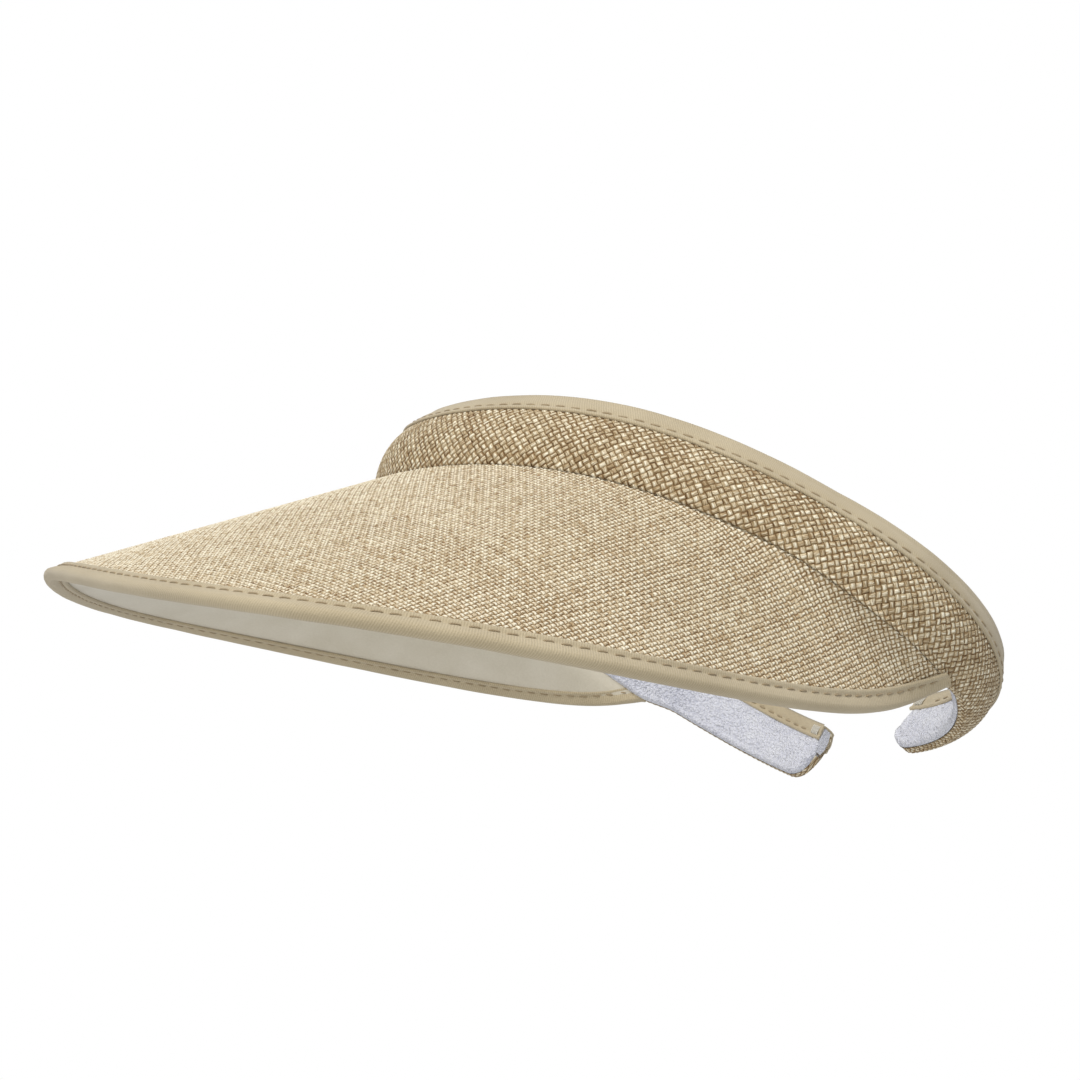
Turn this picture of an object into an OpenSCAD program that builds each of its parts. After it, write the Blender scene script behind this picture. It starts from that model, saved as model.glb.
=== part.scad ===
// Clip-on sun visor: a long curved brim sewn to a padded, crowned headband whose two
// springy arms curl in behind the head and leave the crown and the back open.
// Frame: +Z up along the head, front of the visor toward -Y, wearer's left at +X.
// The origin is the middle of the head opening, level with the band's front lower edge.
// Angles round the head ("phi") are in degrees from the front, positive to the wearer's left.

/* [Band plan] */

// Mean radius of the band's outer lower edge, seen from above
band_radius = 73.1; // [66:0.1:82]
// Share of the radius that makes the plan longer behind than in front
plan_egg = 0.19; // [0:0.01:0.22]
// Share of the radius that makes the plan longer than it is wide
plan_oval = -0.01; // [-0.04:0.01:0.06]
// Share of the radius that draws the front forward
plan_point = 0.06; // [0:0.01:0.08]
// Share of the radius that flattens the sides
plan_flat_sides = 0.02; // [0:0.01:0.05]
// How far the lower edge rises over the ears
side_lift = 12.4; // [4:0.1:16]
// How much of that rise is already there between the front and the ears
side_lift_fullness = 1.6; // [-1:0.1:3]

/* [Band section] */

// Height of the band at the front
band_front_height = 19; // [17:0.1:25]
// Height of the band toward the arm tips
band_back_height = 15; // [14:0.1:21]
// Lean of the band toward the head over the ears, in degrees
band_lean = 15; // [0:0.1:18]
// How much less the band leans at the very front, in degrees
band_front_upright = 5.9; // [0:0.1:10]
// How far the padded face swells out
band_crown = 3; // [2.5:0.1:4]
// Thickness of the straw cloth on the band
cover_thickness = 0.8; // [0.6:0.05:1]
// Thickness of the springy plastic strip
spring_thickness = 0.8; // [0.6:0.05:1]
// Thickness of the terry sweatband
terry_thickness = 1.25; // [1:0.05:1.6]

/* [Arms] */

// Angle at which the left arm ends
left_arm_end = 158.6; // [150:0.1:164]
// Angle at which the right arm ends
right_arm_end = 158.7; // [150:0.1:164]
// How far the left arm curls inward from the plan curve
left_arm_curl = 11.9; // [0:0.1:14]
// How far the right arm curls inward from the plan curve
right_arm_curl = 2.5; // [0:0.1:14]
// How far the left arm's tip rises
left_arm_rise = 1.9; // [0:0.1:6]
// How far the right arm's tip rises
right_arm_rise = 0.5; // [0:0.1:6]
// How much the left arm rolls upright toward its tip, in degrees
left_arm_roll = 30; // [0:0.1:32]
// How much the right arm rolls upright toward its tip, in degrees
right_arm_roll = 17.4; // [0:0.1:32]
// Radius of the rounded lower corner at an arm's tip
arm_corner = 7; // [4:0.5:8]
// Width of the flex line between the front band and an arm, in degrees round the head
flex_gap = 2.4; // [2:0.1:3]

/* [Brim] */

// Angle round the head at which the brim's edge meets the band
brim_end = 121; // [116:0.5:122]
// Distance of the brim's front edge from the origin
brim_reach = 111.1; // [100:0.1:120]
// Drop of the brim's edge for each millimetre forward
brim_fall = 0.424; // [0.38:0.002:0.48]
// Extra drop of the edge along the sides
brim_side_drop = 22; // [18:0.1:26]
// How much of that drop the edge wins back further behind
brim_side_rise = 43.6; // [38:0.1:48]
// Extra drop of the edge near its two ends
brim_end_drop = 51; // [46:0.1:55]
// How much lower the left half of the edge hangs than the right, from the twist of the brim
brim_twist = 11.7; // [0:0.1:14]
// How far the front edge has swung toward the right
brim_sway = 1.6; // [0:0.1:3]
// How much wider than a half ellipse the edge is behind its front
edge_fullness = 2.34; // [2:0.01:2.6]
// How much of that width is taken back toward the front
edge_taper = 0.58; // [0.4:0.01:0.8]
// How much more of that width is taken back at the very front
edge_front_taper = 0.82; // [0.6:0.01:1]
// How far the edge stands out from a half ellipse between front and sides
edge_shoulder = 0.09; // [0:0.01:0.15]
// How far the edge falls back from a half ellipse toward its two ends
edge_end_hollow = 0.79; // [0.7:0.01:0.85]
// How far the two ends of the brim hang below the band's lower edge
brim_hang = 1.8; // [1.5:0.1:3]
// Share of the rulings that gather toward the middle of the front edge
brim_gather = 0.12; // [0.05:0.01:0.12]
// Share of the rulings that gather both at the middle and at the two ends of the edge
brim_end_gather = 0.86; // [0.8:0.01:0.87]
// Thickness of the straw cloth on the brim
brim_cloth = 0.7; // [0.6:0.05:1]
// Thickness of the stiffening board
brim_board_thickness = 0.6; // [0.6:0.05:1.2]
// Thickness of the lining under the brim
brim_lining_thickness = 0.5; // [0.4:0.05:0.8]

/* [Trim] */

// Width of the tape round the brim's edge
brim_tape_width = 4.4; // [4:0.1:6]
// Height of the tape on the outside of the band's top edge
band_tape_height = 5.6; // [5:0.1:6.5]
// Height of the tape on the inside of the band's top edge
band_tape_inside = 4; // [3.5:0.1:6]
// Thickness of the tape
tape_thickness = 0.5; // [0.4:0.05:0.7]
// Distance of the stitch line from the tape's inner edge
stitch_inset = 1.3; // [1.1:0.1:1.6]
// Thickness of the sewing thread
thread = 0.45; // [0.3:0.05:0.5]
// Length of one short bar stitch at an arm's tip
bar_stitch_length = 2.6; // [2:0.1:3]

/* [Hidden] */

// Colours
straw = [0.78, 0.68, 0.50];
khaki = [0.60, 0.53, 0.40];
terry_white = [0.86, 0.86, 0.90];
lining_grey = [0.72, 0.68, 0.61];
foam_cream = [0.93, 0.90, 0.80];
board_white = [0.90, 0.90, 0.88];
spring_milk = [0.80, 0.83, 0.86];
thread_tan = [0.70, 0.62, 0.47];

// Clearance between two layers, and between the layers' free ends and the tape
gap = 0.05;
tail_start = 91.7;
hang_start = 84;
hang_run = 22;
seam_gap = 0.6;

// How far the cloth tucks under the foam, and how its doubled hem opens
hem_tuck = 0.8;
hem_slope = 0.05;
// Share of the crown that is left at an arm's very tip
tip_swell = 0.45;
terry_round = 0.6;
tape_middle = 0.55;
rim_round = 0.3;
// Least share of a ruling that stays free of tape
least_cloth = 0.12;
// Height of a thread's section as a share of its width
thread_rise = 0.6;

// Bar stitches: degrees from the arm's tip to the first, between two, and half the width of one;
// height above the tape's inner edge
bar_inset = 1.1;
bar_pitch = 0.75;
bar_half = 0.2;
bar_rise = 0.6;
radian = 57.2958;

// Distances inward from the band's outer lower edge
foam_back = 1;
spring_front = foam_back + gap;
spring_back = spring_front + spring_thickness;
terry_front = spring_back + 2 * gap;
terry_back = terry_front + terry_thickness;

// Depths below the brim's top face
board_top = brim_cloth + gap;
board_bottom = board_top + brim_board_thickness;
lining_top = board_bottom + gap;
lining_bottom = lining_top + brim_lining_thickness;

front_steps = 36;
arm_steps = 11;
brim_steps = 56;
front_end = brim_end + 1;
arm_start = front_end + flex_gap;

// ---- Band surface -------------------------------------------------------------------

// 0 as far as the ears, then growing by 1 for every radian behind them
function tail(phi) = max(0, (abs(phi) - tail_start) / radian);

function for_side(phi, left, right) = phi >= 0 ? left : right;

function plan_radius(phi) =
    band_radius * (1 - plan_egg * cos(phi) + plan_oval * (1 + cos(2 * phi))
                   + plan_point * cos(3 * phi) + plan_flat_sides * (1 - cos(4 * phi)))
    - for_side(phi, left_arm_curl, right_arm_curl) * pow(tail(phi), 2);

function edge_height(phi) =
    side_lift * (1 - cos(2 * phi)) / 2 + side_lift_fullness * (1 - cos(4 * phi)) / 2
    + for_side(phi, left_arm_rise, right_arm_rise) * pow(tail(phi), 2);

function lean(phi) =
    band_lean - band_front_upright * cos(phi)
    - for_side(phi, left_arm_roll, right_arm_roll) * tail(phi);

function band_height(phi) =
    band_front_height + (band_back_height - band_front_height) * pow(abs(phi) / 149, 1.5);

function arm_end(phi) = for_side(phi, left_arm_end, right_arm_end);

// Distance from an arm's tip, along the arm
function from_tip(phi) = (arm_end(phi) - abs(phi)) / radian * plan_radius(phi);

// How far the band's lower edge is cut away by the rounded corner at an arm's tip
function corner_cut(phi) =
    let (d = min(arm_corner, max(0, from_tip(phi))))
    arm_corner - sqrt(pow(arm_corner, 2) - pow(arm_corner - d, 2));

// Point on the band: x outward from its outer lower edge, y up along its leaning height
function band_point(phi, x, y) =
    let (l = lean(phi), r = plan_radius(phi) + x * cos(l) - y * sin(l))
    [r * sin(phi), -r * cos(phi), edge_height(phi) + x * sin(l) + y * cos(l)];

// Swell of the padded face at height y; it dies away over the last few millimetres of an arm
function swell(phi, y) =
    let (low = corner_cut(phi), q = (y - low) / (band_height(phi) - low))
    band_crown * 4 * q * (1 - q) * min(1, tip_swell + (1 - tip_swell) * from_tip(phi) / arm_corner);

// Heights at which the padded face is sampled, from its lower edge to y = top
function face_heights(phi, top) =
    let (low = corner_cut(phi), tape = band_height(phi) - band_tape_height)
    [for (f = [0:0.2:0.8]) low + (tape - low) * f, tape, each tape_heights(phi, top)];

// Heights sampled under the tape; the stitch line lies between the first two
function tape_heights(phi, top) =
    let (tape = band_height(phi) - band_tape_height)
    [tape + stitch_inset - thread, tape + stitch_inset + thread, tape + tape_middle * band_tape_height, top];

function reversed(list) = [for (i = [len(list) - 1:-1:0]) list[i]];

function band_ring(phi, outline) = [for (p = outline) band_point(phi, p.x, p.y)];

// ---- Band outlines: closed loops of [x, y] at one angle ------------------------------

function cover_outline(phi) =
    let (top = band_height(phi) - tape_thickness - gap, low = corner_cut(phi),
         ys = face_heights(phi, top),
         hem = low + cover_thickness)
    [[-foam_back - hem_tuck, low],
     for (y = ys) [swell(phi, y), y],
     for (y = reversed(ys)) [swell(phi, max(y, hem)) - cover_thickness, max(y, hem + (y - low) * hem_slope)],
     [-foam_back - hem_tuck, hem]];

// Heights at which the flat layers behind the padded face are sampled
function flat_heights(phi) =
    let (low = corner_cut(phi) + 2, tape = band_height(phi) - band_tape_inside)
    [low, (low + tape) / 2, tape, band_height(phi) - 3];

// The pad ends short of both edges, so that the band is thin where it is sewn
function foam_outline(phi) =
    let (ys = face_heights(phi, band_height(phi)), flat = flat_heights(phi))
    [for (i = [1:len(ys) - 2]) [swell(phi, ys[i]) - cover_thickness - 2 * gap, ys[i]],
     for (y = reversed(flat)) [-foam_back, y]];

function spring_outline(phi) =
    [for (y = flat_heights(phi)) [-spring_front, y],
     for (y = reversed(flat_heights(phi))) [-spring_back, y]];

function sweatband_outline(phi) =
    let (low = corner_cut(phi) + gap, top = band_height(phi) - tape_thickness - gap)
    [[-terry_front, low],
     for (y = flat_heights(phi)) [-terry_front, y],
     [-terry_front, top], [terry_round / 2 - terry_back, top], [-terry_back, top - terry_round],
     for (y = reversed(flat_heights(phi))) [-terry_back, y],
     [-terry_back, low + terry_round], [terry_round - terry_back, low]];

function binding_outline(phi) =
    let (h = band_height(phi), top = h - tape_thickness, low = h - band_tape_height,
         ys = [low, each tape_heights(phi, top)],
         inner = terry_back + gap)
    [for (y = ys) [swell(phi, y) + gap + tape_thickness, y],
     [0.1, h], [-inner - 0.1, h], [-inner - tape_thickness, h - 0.5],
     [-inner - tape_thickness, h - 3], [-inner - tape_thickness, h - band_tape_inside],
     [-inner, h - band_tape_inside], [-inner, h - 3], [-inner, top], [0.8 - inner, top], [-0.4, top],
     for (y = reversed(ys)) [swell(phi, y) + gap, y]];

// ---- Solids swept along a row of rings -----------------------------------------------

// Closed tube through a list of rings that all have the same even number of points. A ring runs up
// one face of the layer and back down the other, so the tube's two ends are closed by joining the
// points that face each other across the layer. Each quad of the sides is split from its lower
// corner on one ring to its upper corner on the next, so that two layers that face each other have
// matching facets and keep their clearance.
module tube(rings) {
    n = len(rings);
    m = len(rings[0]);
    polyhedron(
        points = [for (ring = rings) each ring],
        faces = [
            for (j = [0:m / 2 - 2]) each [[m - 1 - j, j + 1, j], [m - 1 - j, m - 2 - j, j + 1]],
            for (j = [0:m / 2 - 2])
                let (a = (n - 1) * m)
                each [[a + j, a + j + 1, a + m - 1 - j], [a + j + 1, a + m - 2 - j, a + m - 1 - j]],
            for (i = [0:n - 2], j = [0:m - 1])
                let (a = i * m + j, b = i * m + (j + 1) % m,
                     rising = rings[i][(j + 1) % m].z > rings[i][j].z)
                each rising ? [[a, b, b + m], [a, b + m, a + m]] : [[a, b, a + m], [b, b + m, a + m]]
        ]);
}

function front_angles() = [for (i = [0:front_steps]) front_end * (2 * i / front_steps - 1)];

// Angles along an arm, closer together toward its tip; like the front band's, they run from the
// wearer's right to the left
function arm_angles(side) =
    let (a = arm_start, b = arm_end(side),
         angles = [for (i = [0:arm_steps]) side * (a + (b - a) * sin(90 * i / arm_steps))])
    side > 0 ? angles : reversed(angles);

// ---- Brim surface: straight rulings from the seam to the edge ------------------------

// How far the brim hangs clear of the band's lower edge, where it turns along the band
function hang(phi) = brim_hang * pow(sin(90 * min(1, max(0, (abs(phi) - hang_start) / hang_run))), 2);
function seam(phi) = band_point(phi, 0, -hang(phi));

// Angle along the brim's edge, 0 at its front and 90 at its left end, where the ruling that
// starts at phi lands. The rulings crowd toward the front and toward the two ends, as they do
// on a bent flat sheet.
function edge_angle(phi) =
    let (t = phi / brim_end)
    90 * (t - brim_gather * sin(180 * t) / PI - brim_end_gather * sin(360 * t) / (2 * PI));

// End of the edge, blended from the right side's (mirrored) to the left side's; only the edge's
// two ends take part in the hang
function edge_corner(blend) =
    let (low = -brim_hang * pow(blend, 8),
         left = band_point(brim_end, 0, low), right = band_point(-brim_end, 0, low))
    (left * (1 + blend) + [-right.x, right.y, right.z] * (1 - blend)) / 2;

function brim_edge(phi) =
    let (q = edge_angle(phi), s = sin(q), c = cos(q), corner = edge_corner(s),
         wide = 1 + edge_fullness * pow(c, 2) - edge_taper * pow(c, 4) - edge_front_taper * pow(c, 6),
         long = 1 + edge_shoulder * pow(s, 2) - edge_end_hollow * pow(s, 6),
         low = brim_side_drop * pow(s, 2) - brim_side_rise * pow(s, 4) + brim_end_drop * pow(s, 6),
         y = corner.y - (corner.y + brim_reach) * c * long)
    [corner.x * s * wide - brim_sway * pow(c, 2), y,
     corner.z + brim_fall * (y - corner.y) - c * low - brim_twist * c * s];

function ruling_length(phi) = norm(brim_edge(phi) - seam(phi));
function ruling(phi) = unit(brim_edge(phi) - seam(phi));
function unit(v) = v / norm(v);

// Direction out of the brim's top face, taken halfway down the ruling
function brim_normal(phi) =
    let (d = 0.5, half = ruling_length(phi) / 2,
         along = seam(phi + d) + ruling(phi + d) * half - seam(phi - d) - ruling(phi - d) * half)
    unit(cross(ruling(phi), along));

// A distance square to the brim's edge, measured along the slanting ruling instead
function along_ruling(phi, distance) =
    let (d = 0.5, edge = unit(brim_edge(phi + d) - brim_edge(phi - d)), c = ruling(phi) * edge)
    distance / sqrt(1 - c * c);

// Where a layer starts on the ruling, so that its lowest face just clears the band
function layer_start(phi, depth) =
    let (l = lean(phi), down = [sin(l) * sin(phi), -sin(l) * cos(phi), -cos(l)])
    max(seam_gap, (seam_gap - hang(phi) + depth * (brim_normal(phi) * down))
                  / max(0.2, ruling(phi) * down));

function brim_point(phi, s, depth) = seam(phi) + ruling(phi) * s - brim_normal(phi) * depth;

// Where the tape's inside meets the layers, and where the layers end just short of it
function tape_inside(phi) = ruling_length(phi) - along_ruling(phi, tape_thickness);
function layer_end(phi) = ruling_length(phi) - along_ruling(phi, tape_thickness + 4 * gap);

// Where the tape's inner edge crosses the ruling
function tape_start(phi) =
    let (start = layer_start(phi, lining_bottom + tape_thickness), end = tape_inside(phi))
    max(start + least_cloth * (end - start), ruling_length(phi) - along_ruling(phi, brim_tape_width));

// Angles of the rulings, closer together toward the two ends, as far as reach to either side
function brim_angles(reach) =
    [for (i = [0:brim_steps])
        let (phi = tape_reach * sin(90 * (2 * i / brim_steps - 1)))
        if (abs(phi) <= reach) phi];

// Ring of a flat layer between two depths, sampled at the seam, on the way, at the tape and at its end
function layer_ring(phi, top, bottom) =
    let (start = layer_start(phi, bottom), tape = tape_start(phi), end = layer_end(phi),
         samples = [start, start + (tape - start) / 3, start + (tape - start) * 2 / 3, tape,
                    (tape + end) / 2, end])
    [for (s = samples) brim_point(phi, s, top),
     for (s = reversed(samples)) brim_point(phi, s, bottom)];

function brim_tape_ring(phi) =
    let (start = tape_start(phi), end = tape_inside(phi), mid = (start + layer_end(phi)) / 2,
         rim = ruling_length(phi), soft = along_ruling(phi, rim_round),
         top = -gap, bottom = lining_bottom + gap)
    [brim_point(phi, start, top - tape_thickness), brim_point(phi, mid, top - tape_thickness),
     brim_point(phi, rim - soft, top - tape_thickness), brim_point(phi, rim, top),
     brim_point(phi, rim, bottom), brim_point(phi, rim - soft, bottom + tape_thickness),
     brim_point(phi, mid, bottom + tape_thickness), brim_point(phi, start, bottom + tape_thickness),
     brim_point(phi, start, bottom), brim_point(phi, mid, bottom),
     for (f = [0:3]) brim_point(phi, end, bottom + (top - bottom) * f / 3),
     brim_point(phi, mid, top), brim_point(phi, start, top)];

// Square thread that lies on the brim's tape; depth is that of the thread's near face
function brim_thread_ring(phi, depth, outward) =
    let (s = tape_start(phi) + along_ruling(phi, stitch_inset), half = along_ruling(phi, thread / 2),
         low = depth + outward * gap, high = depth + outward * (gap + thread_rise * thread))
    [brim_point(phi, s - half, min(low, high)), brim_point(phi, s + half, min(low, high)),
     brim_point(phi, s + half, max(low, high)), brim_point(phi, s - half, max(low, high))];

// ---- Brim pieces ----------------------------------------------------------------------

// Angle at which the inner layers stop, where the tape has closed over them
layer_reach = brim_end - 7;
tape_reach = brim_end - 4.5;
thread_reach = brim_end - 13;

module brim_layer(top, bottom) {
    tube([for (phi = brim_angles(layer_reach)) reversed(layer_ring(phi, top, bottom))]);
}

module brim_cover() {
    color(straw) brim_layer(0, brim_cloth);
}

module brim_board() {
    color(board_white) brim_layer(board_top, board_bottom);
}

module brim_lining() {
    color(lining_grey) brim_layer(lining_top, lining_bottom);
}

module brim_binding() {
    color(khaki) tube([for (phi = brim_angles(tape_reach)) reversed(brim_tape_ring(phi))]);
}

module brim_top_thread() {
    face = -gap - tape_thickness;
    color(thread_tan)
        tube([for (phi = brim_angles(thread_reach)) reversed(brim_thread_ring(phi, face, -1))]);
}

module brim_under_thread() {
    face = lining_bottom + gap + tape_thickness;
    color(thread_tan)
        tube([for (phi = brim_angles(thread_reach)) reversed(brim_thread_ring(phi, face, 1))]);
}

// ---- Band pieces, each made once for any row of angles --------------------------------

module cover_piece(angles) {
    color(straw) tube([for (phi = angles) band_ring(phi, cover_outline(phi))]);
}

module foam_piece(angles) {
    color(foam_cream) tube([for (phi = angles) band_ring(phi, foam_outline(phi))]);
}

module spring_piece(angles) {
    color(spring_milk) tube([for (phi = angles) band_ring(phi, spring_outline(phi))]);
}

module sweatband_piece(angles) {
    color(terry_white) tube([for (phi = angles) band_ring(phi, sweatband_outline(phi))]);
}

module binding_piece(angles) {
    color(khaki) tube([for (phi = angles) band_ring(phi, binding_outline(phi))]);
}

// Thread that lies on the outer face of the band's tape
function binding_thread_outline(phi) =
    let (y = band_height(phi) - band_tape_height + stitch_inset, half = thread / 2,
         slope = swell(phi, y + thread) - swell(phi, y - thread),
         face = (swell(phi, y + thread) + swell(phi, y - thread)) / 2 + 1.5 * gap + tape_thickness,
         low = face - slope / 4, high = face + slope / 4)
    [[low, y - half], [low + thread_rise * thread, y - half],
     [high + thread_rise * thread, y + half], [high, y + half]];

module binding_thread_piece(angles) {
    color(thread_tan) tube([for (phi = angles) band_ring(phi, binding_thread_outline(phi))]);
}

// Row of short bar stitches across the tape's folded end, on the inside of an arm's tip
module bartack_piece(side) {
    stitches = 4;
    inner = -terry_back - tape_thickness - 2 * gap;
    color(thread_tan)
        for (i = [0:stitches - 1]) {
            phi = side * (arm_end(side) - bar_inset - bar_pitch * i);
            y = band_height(phi) - band_tape_inside + bar_rise;
            ring = function (angle) [
                band_point(angle, inner, y), band_point(angle, inner, y + bar_stitch_length),
                band_point(angle, inner - thread_rise * thread, y + bar_stitch_length),
                band_point(angle, inner - thread_rise * thread, y)];
            tube([ring(phi - bar_half), ring(phi + bar_half)]);
        }
}

module band_cover() {
    cover_piece(front_angles());
}

module band_foam() {
    foam_piece(front_angles());
}

module band_spring() {
    spring_piece(front_angles());
}

module band_sweatband() {
    sweatband_piece(front_angles());
}

module band_binding() {
    binding_piece(front_angles());
}

module band_binding_thread() {
    binding_thread_piece(front_angles());
}

// ---- Arm pieces: side is 1 for the wearer's left arm and -1 for the right -------------

module left_arm_cover() {
    cover_piece(arm_angles(1));
}

module left_arm_foam() {
    foam_piece(short_of_tip(arm_angles(1)));
}

module left_arm_spring() {
    spring_piece(short_of_tip(arm_angles(1)));
}

module left_arm_sweatband() {
    sweatband_piece(arm_angles(1));
}

module left_arm_binding() {
    binding_piece(arm_angles(1));
}

module left_arm_binding_thread() {
    binding_thread_piece(short_of_tip(arm_angles(1)));
}

module left_arm_bartack() {
    bartack_piece(1);
}

module right_arm_cover() {
    cover_piece(arm_angles(-1));
}

module right_arm_foam() {
    foam_piece(short_of_tip(arm_angles(-1)));
}

module right_arm_spring() {
    spring_piece(short_of_tip(arm_angles(-1)));
}

module right_arm_sweatband() {
    sweatband_piece(arm_angles(-1));
}

module right_arm_binding() {
    binding_piece(arm_angles(-1));
}

module right_arm_binding_thread() {
    binding_thread_piece(short_of_tip(arm_angles(-1)));
}

module right_arm_bartack() {
    bartack_piece(-1);
}

// Inner layers stop a few millimetres before the arm's tip
function short_of_tip(angles) = [for (phi = angles) if (from_tip(phi) > 2) phi];

brim_cover();
brim_board();
brim_lining();
brim_binding();
brim_top_thread();
brim_under_thread();
band_cover();
band_foam();
band_spring();
band_sweatband();
band_binding();
band_binding_thread();
left_arm_cover();
left_arm_foam();
left_arm_spring();
left_arm_sweatband();
left_arm_binding();
left_arm_binding_thread();
left_arm_bartack();
right_arm_cover();
right_arm_foam();
right_arm_spring();
right_arm_sweatband();
right_arm_binding();
right_arm_binding_thread();
right_arm_bartack();
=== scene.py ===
"""Looks of the clip-on sun visor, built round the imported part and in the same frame.

Lengths are millimetres until a mesh is made. phi is an angle round the head in degrees from the
front, positive to the wearer's left. Band and brim follow the part's own formulas, so that every
piece lies where its CAD node does.
"""
import math

import bmesh
import bpy
import numpy as np
from mathutils import Matrix, Vector
from mathutils.geometry import delaunay_2d_cdt, tessellate_polygon


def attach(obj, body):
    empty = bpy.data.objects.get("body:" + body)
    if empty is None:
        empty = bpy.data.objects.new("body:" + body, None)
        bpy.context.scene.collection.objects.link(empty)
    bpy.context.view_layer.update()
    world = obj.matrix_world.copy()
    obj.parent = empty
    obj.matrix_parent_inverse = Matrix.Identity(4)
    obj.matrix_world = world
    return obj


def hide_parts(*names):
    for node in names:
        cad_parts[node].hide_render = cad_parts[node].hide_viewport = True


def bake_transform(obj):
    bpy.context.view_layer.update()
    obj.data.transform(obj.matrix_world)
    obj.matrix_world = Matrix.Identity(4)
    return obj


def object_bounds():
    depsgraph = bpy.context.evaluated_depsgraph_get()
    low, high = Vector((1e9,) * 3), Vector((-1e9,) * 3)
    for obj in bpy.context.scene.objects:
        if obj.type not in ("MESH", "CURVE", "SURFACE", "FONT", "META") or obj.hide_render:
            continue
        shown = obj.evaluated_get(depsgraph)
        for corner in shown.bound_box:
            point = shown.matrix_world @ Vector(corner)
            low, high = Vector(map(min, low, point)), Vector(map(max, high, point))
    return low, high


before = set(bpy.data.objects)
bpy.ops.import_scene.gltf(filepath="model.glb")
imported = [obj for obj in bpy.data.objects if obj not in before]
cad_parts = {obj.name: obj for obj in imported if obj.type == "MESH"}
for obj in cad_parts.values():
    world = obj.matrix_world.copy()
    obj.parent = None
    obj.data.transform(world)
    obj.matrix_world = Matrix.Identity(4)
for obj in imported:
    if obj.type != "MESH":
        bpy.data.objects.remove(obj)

cad_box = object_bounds()
MM = 0.001

# ---- The part's driving dimensions, in millimetres and degrees --------------------------------

BAND_RADIUS = 73.1
PLAN_EGG = 0.19
PLAN_OVAL = -0.01
PLAN_POINT = 0.06
PLAN_FLAT_SIDES = 0.02
SIDE_LIFT = 12.4
SIDE_LIFT_FULLNESS = 1.6
FRONT_HEIGHT = 19
BACK_HEIGHT = 15
BACK_ANGLE = 149
BAND_LEAN = 15
FRONT_UPRIGHT = 5.9
BAND_CROWN = 3
TIP_CROWN = 0.45
ARM_END = (158.6, 158.7)
ARM_CURL = (11.9, 2.5)
ARM_RISE = (1.9, 0.5)
ARM_ROLL = (30, 17.4)
ARM_CORNER = 7
TAIL_START = 91.7
HANG_START = 84
HANG_RUN = 22
BRIM_END = 121
BRIM_REACH = 111.1
BRIM_FALL = 0.424
BRIM_SIDE_DROP = 22
BRIM_SIDE_RISE = 43.6
BRIM_END_DROP = 51
BRIM_TWIST = 11.7
BRIM_SWAY = 1.6
EDGE_FULLNESS = 2.34
EDGE_TAPER = 0.58
EDGE_FRONT_TAPER = 0.82
EDGE_SHOULDER = 0.09
EDGE_END_HOLLOW = 0.79
BRIM_HANG = 1.8
BRIM_GATHER = 0.12
BRIM_END_GATHER = 0.86
COVER = 0.8
SPRING = 0.8
TERRY = 1.25
FOAM_BACK = 1
GAP = 0.05
TAPE = 0.5
BRIM_TAPE_WIDTH = 4.4
NARROWEST_TAPE = 1.2
BAND_TAPE_HEIGHT = 5.6
BAND_TAPE_INSIDE = 4
STITCH_INSET = 1.3
BRIM_CLOTH = 0.7
BOARD = 0.6
LINING = 0.5

RADIAN = 57.2958
SPRING_FRONT = FOAM_BACK + GAP
SPRING_BACK = SPRING_FRONT + SPRING
TERRY_FRONT = SPRING_BACK + 0.1
TERRY_BACK = TERRY_FRONT + TERRY
LINING_TOP = BRIM_CLOTH + GAP + BOARD + GAP
LINING_BOTTOM = LINING_TOP + LINING


def cos_of(degrees):
    return np.cos(np.radians(degrees))


def sin_of(degrees):
    return np.sin(np.radians(degrees))


# ---- The band's surface, as in the part ---------------------------------------------------------

def for_side(phi, pair):
    """The left or the right value of a pair, by the sign of phi."""
    return np.where(np.asarray(phi) >= 0, pair[0], pair[1])


def tail(phi):
    """Radians past the place where the arms start to curl in."""
    return np.maximum(0, (np.abs(phi) - TAIL_START) / RADIAN)


def plan_radius(phi):
    """Radius of the band's outer lower edge, seen from above."""
    waves = (-PLAN_EGG * cos_of(phi) + PLAN_OVAL * (1 + cos_of(2 * phi))
             + PLAN_POINT * cos_of(3 * phi) + PLAN_FLAT_SIDES * (1 - cos_of(4 * phi)))
    return BAND_RADIUS * (1 + waves) - for_side(phi, ARM_CURL) * tail(phi) ** 2


def edge_height(phi):
    """Height of the band's lower edge, which rises over the ears."""
    lift = SIDE_LIFT * (1 - cos_of(2 * phi)) / 2 + SIDE_LIFT_FULLNESS * (1 - cos_of(4 * phi)) / 2
    return lift + for_side(phi, ARM_RISE) * tail(phi) ** 2


def lean(phi):
    """Inward lean of the band, in degrees."""
    return BAND_LEAN - FRONT_UPRIGHT * cos_of(phi) - for_side(phi, ARM_ROLL) * tail(phi)


def band_height(phi):
    """Height of the band along its lean."""
    return FRONT_HEIGHT + (BACK_HEIGHT - FRONT_HEIGHT) * (np.abs(phi) / BACK_ANGLE) ** 1.5


def from_tip(phi):
    """Distance along the band from the nearer arm's tip."""
    return (for_side(phi, ARM_END) - np.abs(phi)) / RADIAN * plan_radius(phi)


def corner_cut(phi):
    """Height of the band's lower edge, which is rounded off at an arm's tip."""
    distance = np.clip(from_tip(phi), 0, ARM_CORNER)
    return ARM_CORNER - np.sqrt(ARM_CORNER ** 2 - (ARM_CORNER - distance) ** 2)


def band_point(phi, x, y):
    """Points on the band: x outward from its outer lower edge, y up along its leaning height."""
    phi, x, y = np.broadcast_arrays(np.asarray(phi, float), x, y)
    tilt = lean(phi)
    radius = plan_radius(phi) + x * cos_of(tilt) - y * sin_of(tilt)
    z = edge_height(phi) + x * sin_of(tilt) + y * cos_of(tilt)
    return np.stack([radius * sin_of(phi), -radius * cos_of(phi), z], -1)


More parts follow.
